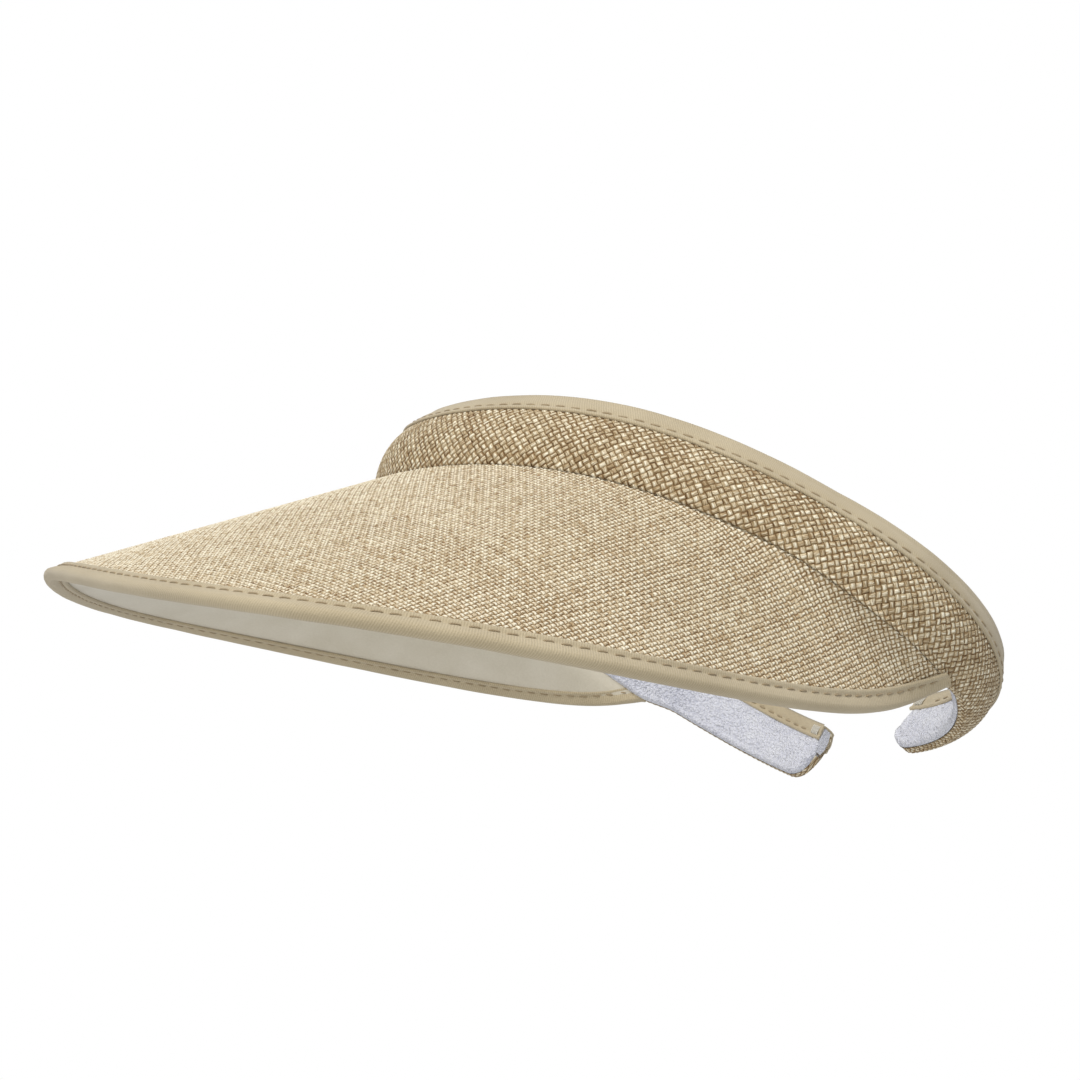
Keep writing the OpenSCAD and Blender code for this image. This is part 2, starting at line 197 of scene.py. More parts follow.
def swell(phi, y):
    """How far the padded face stands out at height y."""
    low = corner_cut(phi)
    share = (y - low) / (band_height(phi) - low)
    fullness = TIP_CROWN + (1 - TIP_CROWN) * from_tip(phi) / ARM_CORNER
    return BAND_CROWN * 4 * share * (1 - share) * np.minimum(1, fullness)


# ---- The brim's surface: straight rulings from the seam to the edge -----------------------------

def unit(v):
    return v / np.linalg.norm(v, axis=-1, keepdims=True)


def dot(a, b):
    return (a * b).sum(-1)


def hang(phi):
    """How far the brim hangs clear of the band's lower edge, where it turns along the band."""
    return BRIM_HANG * sin_of(90 * np.clip((np.abs(phi) - HANG_START) / HANG_RUN, 0, 1)) ** 2


def seam(phi):
    """Points where the brim meets the band."""
    return band_point(phi, 0, -hang(phi))


def brim_edge(phi):
    """Points on the brim's edge, reached by the ruling that leaves the seam at phi."""
    t = phi / BRIM_END
    gather = BRIM_GATHER * sin_of(180 * t) + BRIM_END_GATHER * sin_of(360 * t) / 2
    q = 90 * (t - gather / math.pi)
    s, c = sin_of(q), cos_of(q)
    end_hang = -BRIM_HANG * s ** 8
    left, right = band_point(BRIM_END, 0, end_hang), band_point(-BRIM_END, 0, end_hang) * [-1, 1, 1]
    corner = (left * (1 + s)[..., None] + right * (1 - s)[..., None]) / 2
    wide = 1 + EDGE_FULLNESS * c ** 2 - EDGE_TAPER * c ** 4 - EDGE_FRONT_TAPER * c ** 6
    long = 1 + EDGE_SHOULDER * s ** 2 - EDGE_END_HOLLOW * s ** 6
    low = BRIM_SIDE_DROP * s ** 2 - BRIM_SIDE_RISE * s ** 4 + BRIM_END_DROP * s ** 6
    y = corner[..., 1] - (corner[..., 1] + BRIM_REACH) * c * long
    z = corner[..., 2] + BRIM_FALL * (y - corner[..., 1]) - c * low - BRIM_TWIST * c * s
    return np.stack([corner[..., 0] * s * wide - BRIM_SWAY * c ** 2, y, z], -1)


RULING_COUNT = 2401
END_MARGIN = 0.6
PHIS = np.linspace(-BRIM_END + END_MARGIN, BRIM_END - END_MARGIN, RULING_COUNT)
SEAMS, EDGES = seam(PHIS), brim_edge(PHIS)
LENGTHS = np.linalg.norm(EDGES - SEAMS, axis=1)
RULINGS = unit(EDGES - SEAMS)
HALVES = SEAMS + RULINGS * LENGTHS[:, None] / 2
NORMALS = unit(np.cross(RULINGS, np.gradient(HALVES, axis=0)))


def table(values, phi):
    """Values stored along PHIS, read at any angle."""
    flat = np.asarray(values).reshape(len(PHIS), -1)
    columns = [np.interp(phi, PHIS, column) for column in flat.T]
    return np.stack(columns, -1) if flat.shape[1] > 1 else columns[0]


def brim_point(phi, s, depth):
    """Points of the brim: s along the ruling from the seam, depth below its top face."""
    return (table(SEAMS, phi) + table(RULINGS, phi) * np.asarray(s)[..., None]
            - table(NORMALS, phi) * np.asarray(depth)[..., None])


def unroll():
    """Flat places of every ruling's two ends, as the cloth lay before it was bent."""
    seams, edges = [np.zeros(2)], [np.array([0, -LENGTHS[0]])]
    for i in range(len(PHIS) - 1):
        base, far = seams[-1], edges[-1]
        along = (far - base) / LENGTHS[i]
        side = np.array([-along[1], along[0]])
        near = SEAMS[i + 1] - SEAMS[i]
        forward = near @ RULINGS[i]
        seams.append(base + along * forward + side * math.sqrt(max(near @ near - forward ** 2, 0)))
        reach = EDGES[i + 1] - SEAMS[i]
        forward = reach @ RULINGS[i]
        away = base + along * forward + side * math.sqrt(max(reach @ reach - forward ** 2, 0))
        edges.append(seams[-1] + unit(away - seams[-1]) * LENGTHS[i + 1])
    return np.array(seams), np.array(edges)


FLAT_SEAM, FLAT_EDGE = unroll()


# ---- Meshes -------------------------------------------------------------------------------------

def add_mesh(name, points, faces, cloth=None, caps=0):
    """A smooth mesh in metres, with sharp edges round its last faces, the caps; cloth holds each
    point's place on the cloth (along, across, 0)."""
    mesh = bpy.data.meshes.new(name)
    places = (np.asarray(points, float) * MM).tolist()
    mesh.from_pydata(places, [], [tuple(map(int, face)) for face in faces])
    if cloth is not None:
        layer = mesh.attributes.new("cloth", "FLOAT_VECTOR", "POINT")
        layer.data.foreach_set("vector", np.asarray(cloth, np.float32).reshape(-1))
    work = bmesh.new()
    work.from_mesh(mesh)
    bmesh.ops.recalc_face_normals(work, faces=work.faces)
    for face in work.faces:
        face.smooth = face.index < len(faces) - caps
        if not face.smooth:
            for edge in face.edges:
                edge.smooth = False
    work.to_mesh(mesh)
    work.free()
    piece = bpy.data.objects.new(name, mesh)
    bpy.context.scene.collection.objects.link(piece)
    return piece


def sweep(name, rings, cloth=None):
    """A closed solid through rows of closed loops, rings[row, point, xyz]."""
    rows, m = rings.shape[:2]
    faces = []
    for i in range(rows - 1):
        a = i * m
        faces += [(a + j, a + b, a + m + b, a + m + j) for j, b in enumerate([*range(1, m), 0])]
    sides = len(faces)
    for row in (0, rows - 1):
        loop = [Vector(p) for p in rings[row]]
        faces += [[row * m + k for k in triangle] for triangle in tessellate_polygon([loop])]
    flat = None if cloth is None else cloth.reshape(-1, 3)
    return add_mesh(name, rings.reshape(-1, 3), faces, flat, len(faces) - sides)


def smooth(x):
    """0 to 1 with a soft start and end."""
    x = np.clip(x, 0, 1)
    return x * x * (3 - 2 * x)


def ripple(a, b, size):
    """Soft irregular waves between -1 and 1, for cloth that never lies quite even."""
    a, b = a / size, b / size
    return (np.sin(1.7 * a + 2.1 * np.sin(0.6 * b)) + np.sin(2.3 * b - 1.3 * np.sin(0.9 * a + 1))
            + np.sin(1.1 * a + 1.9 * b)) / 3


def weave_height(u, v):
    """Height of a plain weave, 1 on top of a yarn and 0 in a hole; u and v count the yarns."""
    i, j = np.floor(u), np.floor(v)
    warp = 0.5 * np.sin(np.pi * v) * (1 - 2 * (i % 2)) + 0.5 * (1 - (2 * (u - i) - 1) ** 2)
    weft = -0.5 * np.sin(np.pi * u) * (1 - 2 * (j % 2)) + 0.5 * (1 - (2 * (v - j) - 1) ** 2)
    return np.maximum(warp, weft)


# ---- Brim ---------------------------------------------------------------------------------------

SEAM_GAP = 0.6
LEAST_SLOPE = 0.2
WEAVE_RELIEF = 0.34
WEAVE_MIDDLE = 0.6
GRID_STEP = 0.5
UNDERSIDE_STEP = 8
CLOTH_SPARE = 0.1
LAYER_INSET = 1
LEAST_LAYER = 0.3
HALVINGS = 26
BRIM_YARN = 0.98
BRIM_GRAIN = 20
TAPE_REACH = BRIM_END - 1
LAYER_REACH = BRIM_END - 3.5
STITCH_REACH = BRIM_END - 7

EDGE_RUN = unit(np.gradient(EDGES, axis=0))
EDGE_ARC = np.concatenate([[0], np.cumsum(np.linalg.norm(np.diff(EDGES, axis=0), axis=1))])
EDGE_SLANT = np.sqrt(1 - dot(RULINGS, EDGE_RUN) ** 2)


def start_table(depth):
    """Where a layer starts on each ruling, so that its lowest face just clears the band."""
    tilt = lean(PHIS)
    down = np.stack([sin_of(tilt) * sin_of(PHIS), -sin_of(tilt) * cos_of(PHIS), -cos_of(tilt)], -1)
    room = SEAM_GAP - hang(PHIS) + depth * dot(NORMALS, down)
    return np.maximum(SEAM_GAP, room / np.maximum(LEAST_SLOPE, dot(RULINGS, down)))


def layer_limits():
    """Start and end of a layer on every ruling; it stops just inside the folded tape."""
    start = start_table(LINING_BOTTOM)
    return start, np.maximum(LENGTHS - LAYER_INSET / EDGE_SLANT, start + LEAST_LAYER)


def flat_tables():
    """The unrolled seam and edge, turned so that the middle ruling points along -Y."""
    middle = len(PHIS) // 2
    down = (FLAT_EDGE[middle] - FLAT_SEAM[middle]) / LENGTHS[middle]
    turn = np.array([[-down[1], down[0]], [-down[0], -down[1]]])
    return (FLAT_SEAM - FLAT_SEAM[middle]) @ turn.T, (FLAT_EDGE - FLAT_SEAM[middle]) @ turn.T


def find_rulings(places, seams, edges):
    """Angle of the ruling through each flat place and the distance along it, by halving."""
    low, high = np.full(len(places), PHIS[0]), np.full(len(places), PHIS[-1])

    def side(phi):
        base, way = table(seams, phi), table(edges - seams, phi)
        off = places - base
        return way[:, 0] * off[:, 1] - way[:, 1] * off[:, 0]

    for _ in range(HALVINGS):
        middle = (low + high) / 2
        ahead = side(middle) > 0
        low, high = np.where(ahead, middle, low), np.where(ahead, high, middle)
    phi = (low + high) / 2
    way = unit(table(edges - seams, phi))
    return phi, dot(places - table(seams, phi), way)


def tape_room(phi):
    """Width the brim's tape has at phi; it narrows where the brim runs out along the band."""
    room = table(LENGTHS - start_table(LINING_BOTTOM + TAPE), phi) * table(EDGE_SLANT, phi)
    return np.clip(room, NARROWEST_TAPE, BRIM_TAPE_WIDTH)


PINCH_TOP = 0.32
PINCH_UNDER = 0.14
PINCH_START = 0.97
PINCH_RUN = 0.4
SHEET_RINGS = 241
SHEET_STEPS = 25
FELT_WAVE, FELT_SIZE = 0.06, 6


def pinch(share):
    """How fully the tape squeezes the layers, at a share of its width in from the brim's edge."""
    return smooth((PINCH_START - share) / PINCH_RUN)


def edge_share(phi, s):
    """Distance from the brim's edge, as a share of the tape's width."""
    return (table(LENGTHS, phi) - s) * table(EDGE_SLANT, phi) / tape_room(phi)


def yarn_grid():
    """Grid points half a yarn apart over the flat cloth, in yarns, and the ruling of each."""
    seams, edges = flat_tables()
    cosine, sine = cos_of(BRIM_GRAIN), sin_of(BRIM_GRAIN)
    turn = np.array([[cosine, sine], [-sine, cosine]])
    corners = np.concatenate([seams, edges]) @ turn.T / BRIM_YARN
    low, high = np.floor(corners.min(0)), np.ceil(corners.max(0))
    counts = [np.arange(low[k], high[k] + GRID_STEP, GRID_STEP) for k in (0, 1)]
    u, v = np.meshgrid(*counts, indexing="ij")
    yarns = np.stack([u.ravel(), v.ravel()], -1)
    phi, s = find_rulings(yarns * BRIM_YARN @ turn, seams, edges)
    return yarns, phi, s, u.shape


def used_cells(inside, shape):
    """The grid's quads that have a corner inside the cloth, renumbered, and the points they use."""
    grid = inside.reshape(shape)
    i, j = np.nonzero(grid[:-1, :-1] | grid[1:, :-1] | grid[:-1, 1:] | grid[1:, 1:])
    n = shape[1]
    quads = np.stack([i * n + j, (i + 1) * n + j, (i + 1) * n + j + 1, i * n + j + 1], -1)
    used, quads = np.unique(quads, return_inverse=True)
    return quads.reshape(-1, 4), used


def close_underside(quads, yarns):
    """Faces that close the cloth below, and the grid points they hang under: the same outline,
    with large triangles between a few of the points inside it."""
    sides = np.concatenate([quads[:, [k, (k + 1) % 4]] for k in range(4)])
    keys = np.sort(sides, axis=1)
    _, back, count = np.unique(keys, axis=0, return_inverse=True, return_counts=True)
    rim = sides[count[back.reshape(-1)] == 1]
    rim_points = np.unique(rim)
    whole = np.rint(yarns / GRID_STEP).astype(int)
    inner = np.setdiff1d(np.nonzero((whole % UNDERSIDE_STEP == 0).all(1))[0], rim_points)
    chosen = np.concatenate([rim_points, inner])
    place = {int(k): i for i, k in enumerate(chosen)}
    lines = [(place[int(a)], place[int(b)]) for a, b in rim]
    flat = [Vector(p) for p in yarns[chosen]]
    _, _, triangles, sources, _, _ = delaunay_2d_cdt(flat, lines, [], 1, 1e-6)
    base = len(yarns)
    faces = [(int(b), int(a), base + place[int(a)], base + place[int(b)]) for a, b in rim]
    faces += [[base + sources[k][0] for k in reversed(t)] for t in triangles]
    return faces, chosen


def brim_straw():
    """Straw cloth on top of the brim: a grid that follows its yarns, half a yarn a step."""
    yarns, phi, s, shape = yarn_grid()
    start, end = layer_limits()
    inside = (s > table(start, phi)) & (s < table(end, phi)) & (np.abs(phi) < LAYER_REACH)
    quads, used = used_cells(inside, shape)
    yarns, phi = yarns[used], np.clip(phi[used], -LAYER_REACH, LAYER_REACH)
    s = np.clip(s[used], table(start, phi), table(end, phi))
    height = weave_height(yarns[:, 0], yarns[:, 1])
    squeeze = PINCH_TOP * pinch(edge_share(phi, s))
    top = brim_point(phi, s, squeeze - WEAVE_RELIEF * (height - WEAVE_MIDDLE))
    under = brim_point(phi, s, np.full(len(phi), BRIM_CLOTH - CLOTH_SPARE))
    faces, chosen = close_underside(quads, yarns)
    cloth = np.concatenate([yarns, yarns[chosen]])
    cloth = np.concatenate([cloth, np.zeros((len(cloth), 1))], -1)
    points = np.concatenate([top, under[chosen]])
    return add_mesh("brim_straw", points, quads.tolist() + faces, cloth)


def brim_sheet(name, top_depth, bottom_depth, softness):
    """A sheet inside or under the brim; a soft one is faintly uneven and gives under the tape."""
    start, end = layer_limits()
    phi = LAYER_REACH * sin_of(90 * np.linspace(-1, 1, SHEET_RINGS))
    share = np.linspace(0, 1, SHEET_STEPS)
    s = table(start, phi)[:, None] + table(end - start, phi)[:, None] * share
    wide = np.repeat(phi[:, None], SHEET_STEPS, 1)
    along = table(EDGE_ARC, phi)[:, None] + 0 * s
    wave = FELT_WAVE * (ripple(along, s, FELT_SIZE) * np.sin(np.pi * share) - 1)
    squeeze = PINCH_UNDER * pinch(edge_share(wide, s))
    top = brim_point(wide, s, top_depth + 0 * s)
    bottom = brim_point(wide, s, bottom_depth + softness * (wave - squeeze))
    rings = np.concatenate([top, bottom[:, ::-1]], 1)
    cloth = np.stack([along, s, 0 * s], -1)
    return sweep(name, rings, np.concatenate([cloth, cloth[:, ::-1]], 1))


def edge_frame(phi):
    """Places on the brim's edge, the directions inward along the cloth, and out of the top face."""
    normal = unit(table(NORMALS, phi))
    inward = np.cross(normal, unit(table(EDGE_RUN, phi)))
    flip = np.sign(dot(inward, -table(RULINGS, phi)))[..., None]
    return table(EDGES, phi), unit(inward * flip), normal


STITCH_PITCH = 3.4
STITCH_LENGTH = 2.5
STITCH_RADIUS = 0.2
STITCH_OUT = 0.33
STITCH_LIFT, STITCH_DIVE, STITCH_FLAT = 0.176, 0.336, 0.85
CORD_TAPER, CORD_LEAST = 0.97, 0.02
ALONG_STRAY, ALONG_STRAY_RATE = 0.12, 5.3
INSET_STRAY, INSET_STRAY_RATE = 0.05, 3.1
STITCH_SLANT = 0.08
UNDER_SHIFT = 1.1
LIP_RUN, LIP_LOW, LIP_RISE = 0.35, 0.3, 0.85
VALLEY_RUN, VALLEY_DEPTH, VALLEY_PULL = 0.42, 0.55, 0.25
FULL_RUN, FULL_RISE = 1.6, 0.1
TAPE_RIPPLE = 0.05


def tape_puff(d, along):
    """Thickness of folded tape d in from its inner edge: a lip, a sewn valley, then full."""
    pull = 1 - VALLEY_PULL + VALLEY_PULL * np.cos(2 * np.pi * along / STITCH_PITCH)
    lip = LIP_RISE * np.sqrt(np.clip(d / LIP_RUN, 0, 1))
    valley = VALLEY_DEPTH * pull * np.exp(-((d - STITCH_INSET) / VALLEY_RUN) ** 2)
    return TAPE * (LIP_LOW + lip - valley + FULL_RISE * smooth((d - STITCH_INSET) / FULL_RUN))


TAPE_STEP = 0.56
TAPE_SHARES = np.array([0, 0.04, 0.1, 0.19, 0.27, 0.34, 0.44, 0.58, 0.74])
RIM_SHARE = 0.26
RIM_TURN, RIM_STEPS = 75, 7
POCKET = 0.9


def brim_tape():
    """Tape folded over the brim's edge, puffed up on both sides of its stitch line."""
    total = table(EDGE_ARC, TAPE_REACH) - table(EDGE_ARC, -TAPE_REACH)
    arcs = table(EDGE_ARC, -TAPE_REACH) + np.linspace(0, total, int(total / TAPE_STEP))
    phi = np.interp(arcs, EDGE_ARC, PHIS)
    base, inward, normal = edge_frame(phi)
    width = tape_room(phi)[:, None]
    along = arcs[:, None]
    low = LINING_BOTTOM + GAP
    d = width * TAPE_SHARES
    squeeze = pinch(1 - TAPE_SHARES)
    top = PINCH_TOP * squeeze - GAP - tape_puff(d, along) - TAPE_RIPPLE * ripple(along, d * 3, 3)
    bottom = low - PINCH_UNDER * squeeze + tape_puff(d, along + UNDER_SHIFT)
    bottom = bottom + TAPE_RIPPLE * ripple(along + 40, d * 3, 3.4)
    middle, half = (top[:, -1:] + bottom[:, -1:]) / 2, (bottom[:, -1:] - top[:, -1:]) / 2
    turn = np.linspace(-RIM_TURN, RIM_TURN, RIM_STEPS)
    nose_x, nose_z = width * RIM_SHARE * (1 - cos_of(turn)), middle + half * sin_of(turn)
    inner_x = np.where([True, False, False, True], width, POCKET)
    inner_z = np.array([low, low - PINCH_UNDER / 2, PINCH_TOP / 2 - GAP, -GAP]) + 0 * width
    x = np.concatenate([width - d, nose_x, (width - d)[:, ::-1], inner_x], 1)
    z = np.concatenate([top, nose_z, bottom[:, ::-1], inner_z], 1)
    rings = base[:, None] + inward[:, None] * x[..., None] - normal[:, None] * z[..., None]
    round_way = np.concatenate([[0], np.cumsum(np.hypot(np.diff(x[0]), np.diff(z[0])))])
    cloth = np.stack([along + 0 * x, round_way + 0 * x, 0 * x], -1)
    return sweep("brim_tape", rings, cloth)


def stitch_row(name, middles, ways, outs, length=STITCH_LENGTH):
    """Single stitches, each a short bent cord that dives into the cloth at both ends."""
    sides = steps = 7
    t = np.linspace(-1, 1, steps)
    around = np.arange(sides) * 2 * np.pi / sides
    thin = STITCH_RADIUS * np.sqrt(np.clip(1 - (np.abs(t) * CORD_TAPER) ** 6, CORD_LEAST, 1))
    lift = STITCH_LIFT - STITCH_DIVE * t ** 4
    points, faces, cloth = [], [], []
    across = unit(np.cross(ways, outs))
    for k in range(len(middles)):
        base = len(points)
        for i in range(steps):
            centre = middles[k] + ways[k] * t[i] * length / 2 + outs[k] * lift[i]
            for a in around:
                off = across[k] * math.cos(a) + outs[k] * math.sin(a) * STITCH_FLAT
                points.append(centre + off * thin[i])
                cloth.append((t[i] * length + k, a * STITCH_RADIUS, k))
        for row in range(base, base + (steps - 1) * sides, sides):
            faces += [(row + j, row + b, row + sides + b, row + sides + j)
                      for j, b in enumerate([*range(1, sides), 0])]
        faces.append([base + j for j in reversed(range(sides))])
        faces.append([base + (steps - 1) * sides + j for j in range(sides)])
    return add_mesh(name, points, faces, cloth)


def brim_stitches(name, below):
    """Stitches along the brim's tape, on its top face or its underside."""
    first, last = table(EDGE_ARC, -STITCH_REACH), table(EDGE_ARC, STITCH_REACH)
    arcs = np.arange(math.ceil(first / STITCH_PITCH), int(last / STITCH_PITCH)) * STITCH_PITCH
    arcs = arcs + STITCH_PITCH / 2 - (UNDER_SHIFT if below else 0)
    arcs = arcs + ALONG_STRAY * np.sin(arcs * ALONG_STRAY_RATE)
    phi = np.interp(arcs, EDGE_ARC, PHIS)
    base, inward, normal = edge_frame(phi)
    squeeze = pinch(1 - STITCH_INSET / tape_room(phi))
    if below:
        depth = LINING_BOTTOM + GAP + STITCH_OUT - PINCH_UNDER * squeeze
    else:
        depth = PINCH_TOP * squeeze - GAP - STITCH_OUT
    inset = tape_room(phi) - STITCH_INSET + INSET_STRAY * np.sin(arcs * INSET_STRAY_RATE)
    places = base + inward * inset[:, None] - normal * depth[:, None]
    slant = unit(table(EDGE_RUN, phi) + STITCH_SLANT * inward)
    return stitch_row(name, places, slant, normal * (-1 if below else 1))


# ---- Band: each layer is swept along the head in a left and a right half ------------------------

BAND_YARN = 1.2
BAND_RELIEF = 0.2
BAND_STEP = BAND_YARN * math.sqrt(2) / 4
SPLIT = -40
HALVES_OF_BAND = {"left": (SPLIT, ARM_END[0]), "right": (-ARM_END[1], SPLIT)}
BAND_PHIS = np.linspace(-ARM_END[1], ARM_END[0], 3001)
MID_HEIGHT = 8
BAND_LINE = band_point(BAND_PHIS, 0, MID_HEIGHT)
BAND_ARC = np.concatenate([[0], np.cumsum(np.linalg.norm(np.diff(BAND_LINE, axis=0), axis=1))])


def half_angles(side, step, short=0):
    """Angles of one half's rings, a whole number of steps along the band from the split."""
    low, high = HALVES_OF_BAND[side]
    split = np.interp(SPLIT, BAND_PHIS, BAND_ARC)
    if side == "left":
        end = BAND_ARC[-1] - short
        arcs = np.append(np.arange(split, end - step / 2, step), end)
    else:
        arcs = np.append(np.arange(split, short + step / 2, -step), short)[::-1]
    return np.clip(np.interp(arcs, BAND_ARC, BAND_PHIS), low, high), arcs - split


def band_sweep(name, side, step, outline, short):
    """outline(phi, along) gives x, y and the way across, each rings by points."""
    phi, along = half_angles(side, step, short)
    x, y, across = outline(phi[:, None], along[:, None])
    rings = band_point(phi[:, None] + 0 * x, x, y)
    cloth = np.stack([along[:, None] + 0 * x, across + 0 * x, 0 * x], -1)
    return sweep(name + "_" + side, rings, cloth)


FACE_ROWS = 46
HEM_ROWS = 5
HEM_TUCK = -FOAM_BACK - 0.8
HEM_START, HEM_RUN = BRIM_END + 6, 8
LEAST_RISE = 0.02


def face_swell(phi, y):
    """Swell of the padded face, flat where the cloth is drawn down below the band's edge."""
    return swell(phi, np.maximum(y, corner_cut(phi)))


def hem_height(phi):
    """Lower edge of the band's cloth: it is drawn down to the brim wherever the brim hangs."""
    return corner_cut(phi) - hang(phi) * smooth((HEM_START - np.abs(phi)) / HEM_RUN)


def straw_outline(phi, along):
    """Straw cloth from under the hem, over the crowned face, to inside the tape, and back."""
    low, top = hem_height(phi), band_height(phi) - TAPE - GAP
    hem_x = np.linspace(HEM_TUCK, -0.3, HEM_ROWS) + 0 * phi
    share = np.linspace(0, 1, FACE_ROWS)
    bottom = np.minimum(low, 0)
    y = np.maximum(bottom + (top - bottom) * share, low + LEAST_RISE * share)
    all_x = np.concatenate([hem_x, face_swell(phi, y)], 1)
    all_y = np.concatenate([low + 0 * hem_x, y], 1)
    dx, dy = np.gradient(all_x, axis=1), np.gradient(all_y, axis=1)
    size = np.hypot(dx, dy) + 1e-6
    across = np.arange(-HEM_ROWS, FACE_ROWS) * BAND_STEP + 0 * phi
    diagonal = math.sqrt(2) * BAND_YARN
    height = weave_height((along + across) / diagonal, (along - across) / diagonal)
    relief = BAND_RELIEF * (height - WEAVE_MIDDLE)
    out_x, out_y = all_x + relief * dy / size, all_y - relief * dx / size
    back = np.linspace(1, 0, 7)
    back_y = np.maximum(top * back, low + COVER + LEAST_RISE * back)
    back_x = face_swell(phi, back_y) - COVER
    tuck_x, tuck_y = HEM_TUCK + 0 * phi, low + COVER
    x = np.concatenate([out_x, back_x, tuck_x], 1)
    y = np.concatenate([out_y, back_y, tuck_y], 1)
    pad = np.repeat(across[:, -1:], x.shape[1] - across.shape[1], 1)
    return x, y, np.concatenate([across, pad], 1)


PAD_INSET = 0.9
PAD_ROOM = 0.12
PAD_LEAST = 0.1
PAD_ROWS = 12
PAD_TIP, PAD_TIP_START, PAD_TIP_RUN = 0.3, 0.5, 3
SPRING_LOW, SPRING_HIGH = 2, 3
SPRING_ROUND = 0.25


def pad_outline(phi, along):
    """Foam behind the straw cloth; it thins towards an arm's tip."""
    low, high = corner_cut(phi) + PAD_INSET, band_height(phi) - PAD_INSET
    y = low + (high - low) * np.linspace(0, 1, PAD_ROWS)
    thin = PAD_TIP + (1 - PAD_TIP) * smooth((from_tip(phi) - PAD_TIP_START) / PAD_TIP_RUN)
    room = swell(phi, y) - COVER - PAD_ROOM + FOAM_BACK
    x = np.maximum(PAD_LEAST, room) * thin - FOAM_BACK
    back = np.full(x.shape, -FOAM_BACK)
    return np.concatenate([x, back], 1), np.concatenate([y, y[:, ::-1]], 1), 0 * phi


def spring_outline(phi, along):
    """Flat springy strip with rounded edges."""
    low, high = corner_cut(phi) + SPRING_LOW, band_height(phi) - SPRING_HIGH
    y = low + (high - low) * np.array([0, 0.05, 0.5, 0.95, 1])
    soft = SPRING_ROUND * np.array([1, 0, 0, 0, 1])
    front, back = -SPRING_FRONT - soft + 0 * y, -SPRING_BACK + soft + 0 * y
    return np.concatenate([front, back[:, ::-1]], 1), np.concatenate([y, y[:, ::-1]], 1), 0 * phi


TERRY_ROWS = 30
TERRY_FILL = 4
TERRY_LIFT = 0.12
TERRY_LEAST = 0.15
TERRY_LOOPS = (0.05, 3, 1), (0.07, 1, 2.3), (0.12, 1, 9)
GROOVE_PLACE, GROOVE_RUN, GROOVE_DEPTH = 2.1, 0.4, 0.42
TIP_SEAM_PLACE, TIP_SEAM_RUN, TIP_SEAM_DEPTH = 3, 0.45, 0.3
HEM_ROLL, HEM_ROLL_RUN = 1, 0.9
TIP_ROLL, TIP_ROLL_RUN = 0.8, 1.2


def rounded(distance, run):
    """1 at the very edge and 0 from run inward, falling along a quarter circle."""
    return 1 - np.sqrt(np.clip(1 - (1 - np.clip(distance / run, 0, 1)) ** 2, 0, 1))


def dent(distance, place, run):
    """A soft dent, 1 at its place."""
    return np.exp(-((distance - place) / run) ** 2)


def terry_loops(along, d):
    """Uneven loops of three sizes."""
    return sum(height * ripple(along * rate, d * rate, size) for height, rate, size in TERRY_LOOPS)


def terry_outline(phi, along):
    """Terry sweatband: a looped inner face, a rolled hem and a groove above it."""
    low, high = hem_height(phi) + GAP, band_height(phi) - TAPE - GAP
    outer_y = low + (high - low) * np.linspace(0, 1, 7)
    fill = smooth(1 - from_tip(phi) / TERRY_FILL)
    reach = face_swell(phi, outer_y) - COVER - GAP + TERRY_FRONT
    outer_x = -TERRY_FRONT + np.maximum(0, reach) * fill
    y = low + (high - low) * np.linspace(1, 0, TERRY_ROWS)
    d = y - low
    groove = GROOVE_DEPTH * dent(d, GROOVE_PLACE, GROOVE_RUN)
    tip_seam = TIP_SEAM_DEPTH * dent(from_tip(phi), TIP_SEAM_PLACE, TIP_SEAM_RUN) * smooth(d / 1.5)
    roll = HEM_ROLL * rounded(d, HEM_ROLL_RUN) + TIP_ROLL * rounded(from_tip(phi), TIP_ROLL_RUN)
    x = -TERRY_BACK - TERRY_LIFT - terry_loops(along, d) + groove + tip_seam + roll
    x = np.minimum(x, -TERRY_FRONT - TERRY_LEAST)
    across = np.concatenate([0 * outer_y, d], 1)
    return np.concatenate([outer_x, x], 1), np.concatenate([outer_y, y], 1), across


TAPE_BACK = -TERRY_BACK - 2 * GAP
OUTER_FLAP = np.array([0, 0.15, 0.4, 0.8, 1.05, 1.3, 1.6, 2.1, 2.9, 3.8, 4.7])
INNER_FLAP = np.array([4.2, 3.4, 2.6, 2.0, 1.6, 1.3, 1.0, 0.6, 0.3, 0])
INNER_SHIFT = 1.5
FOLD_RISE = 0.1


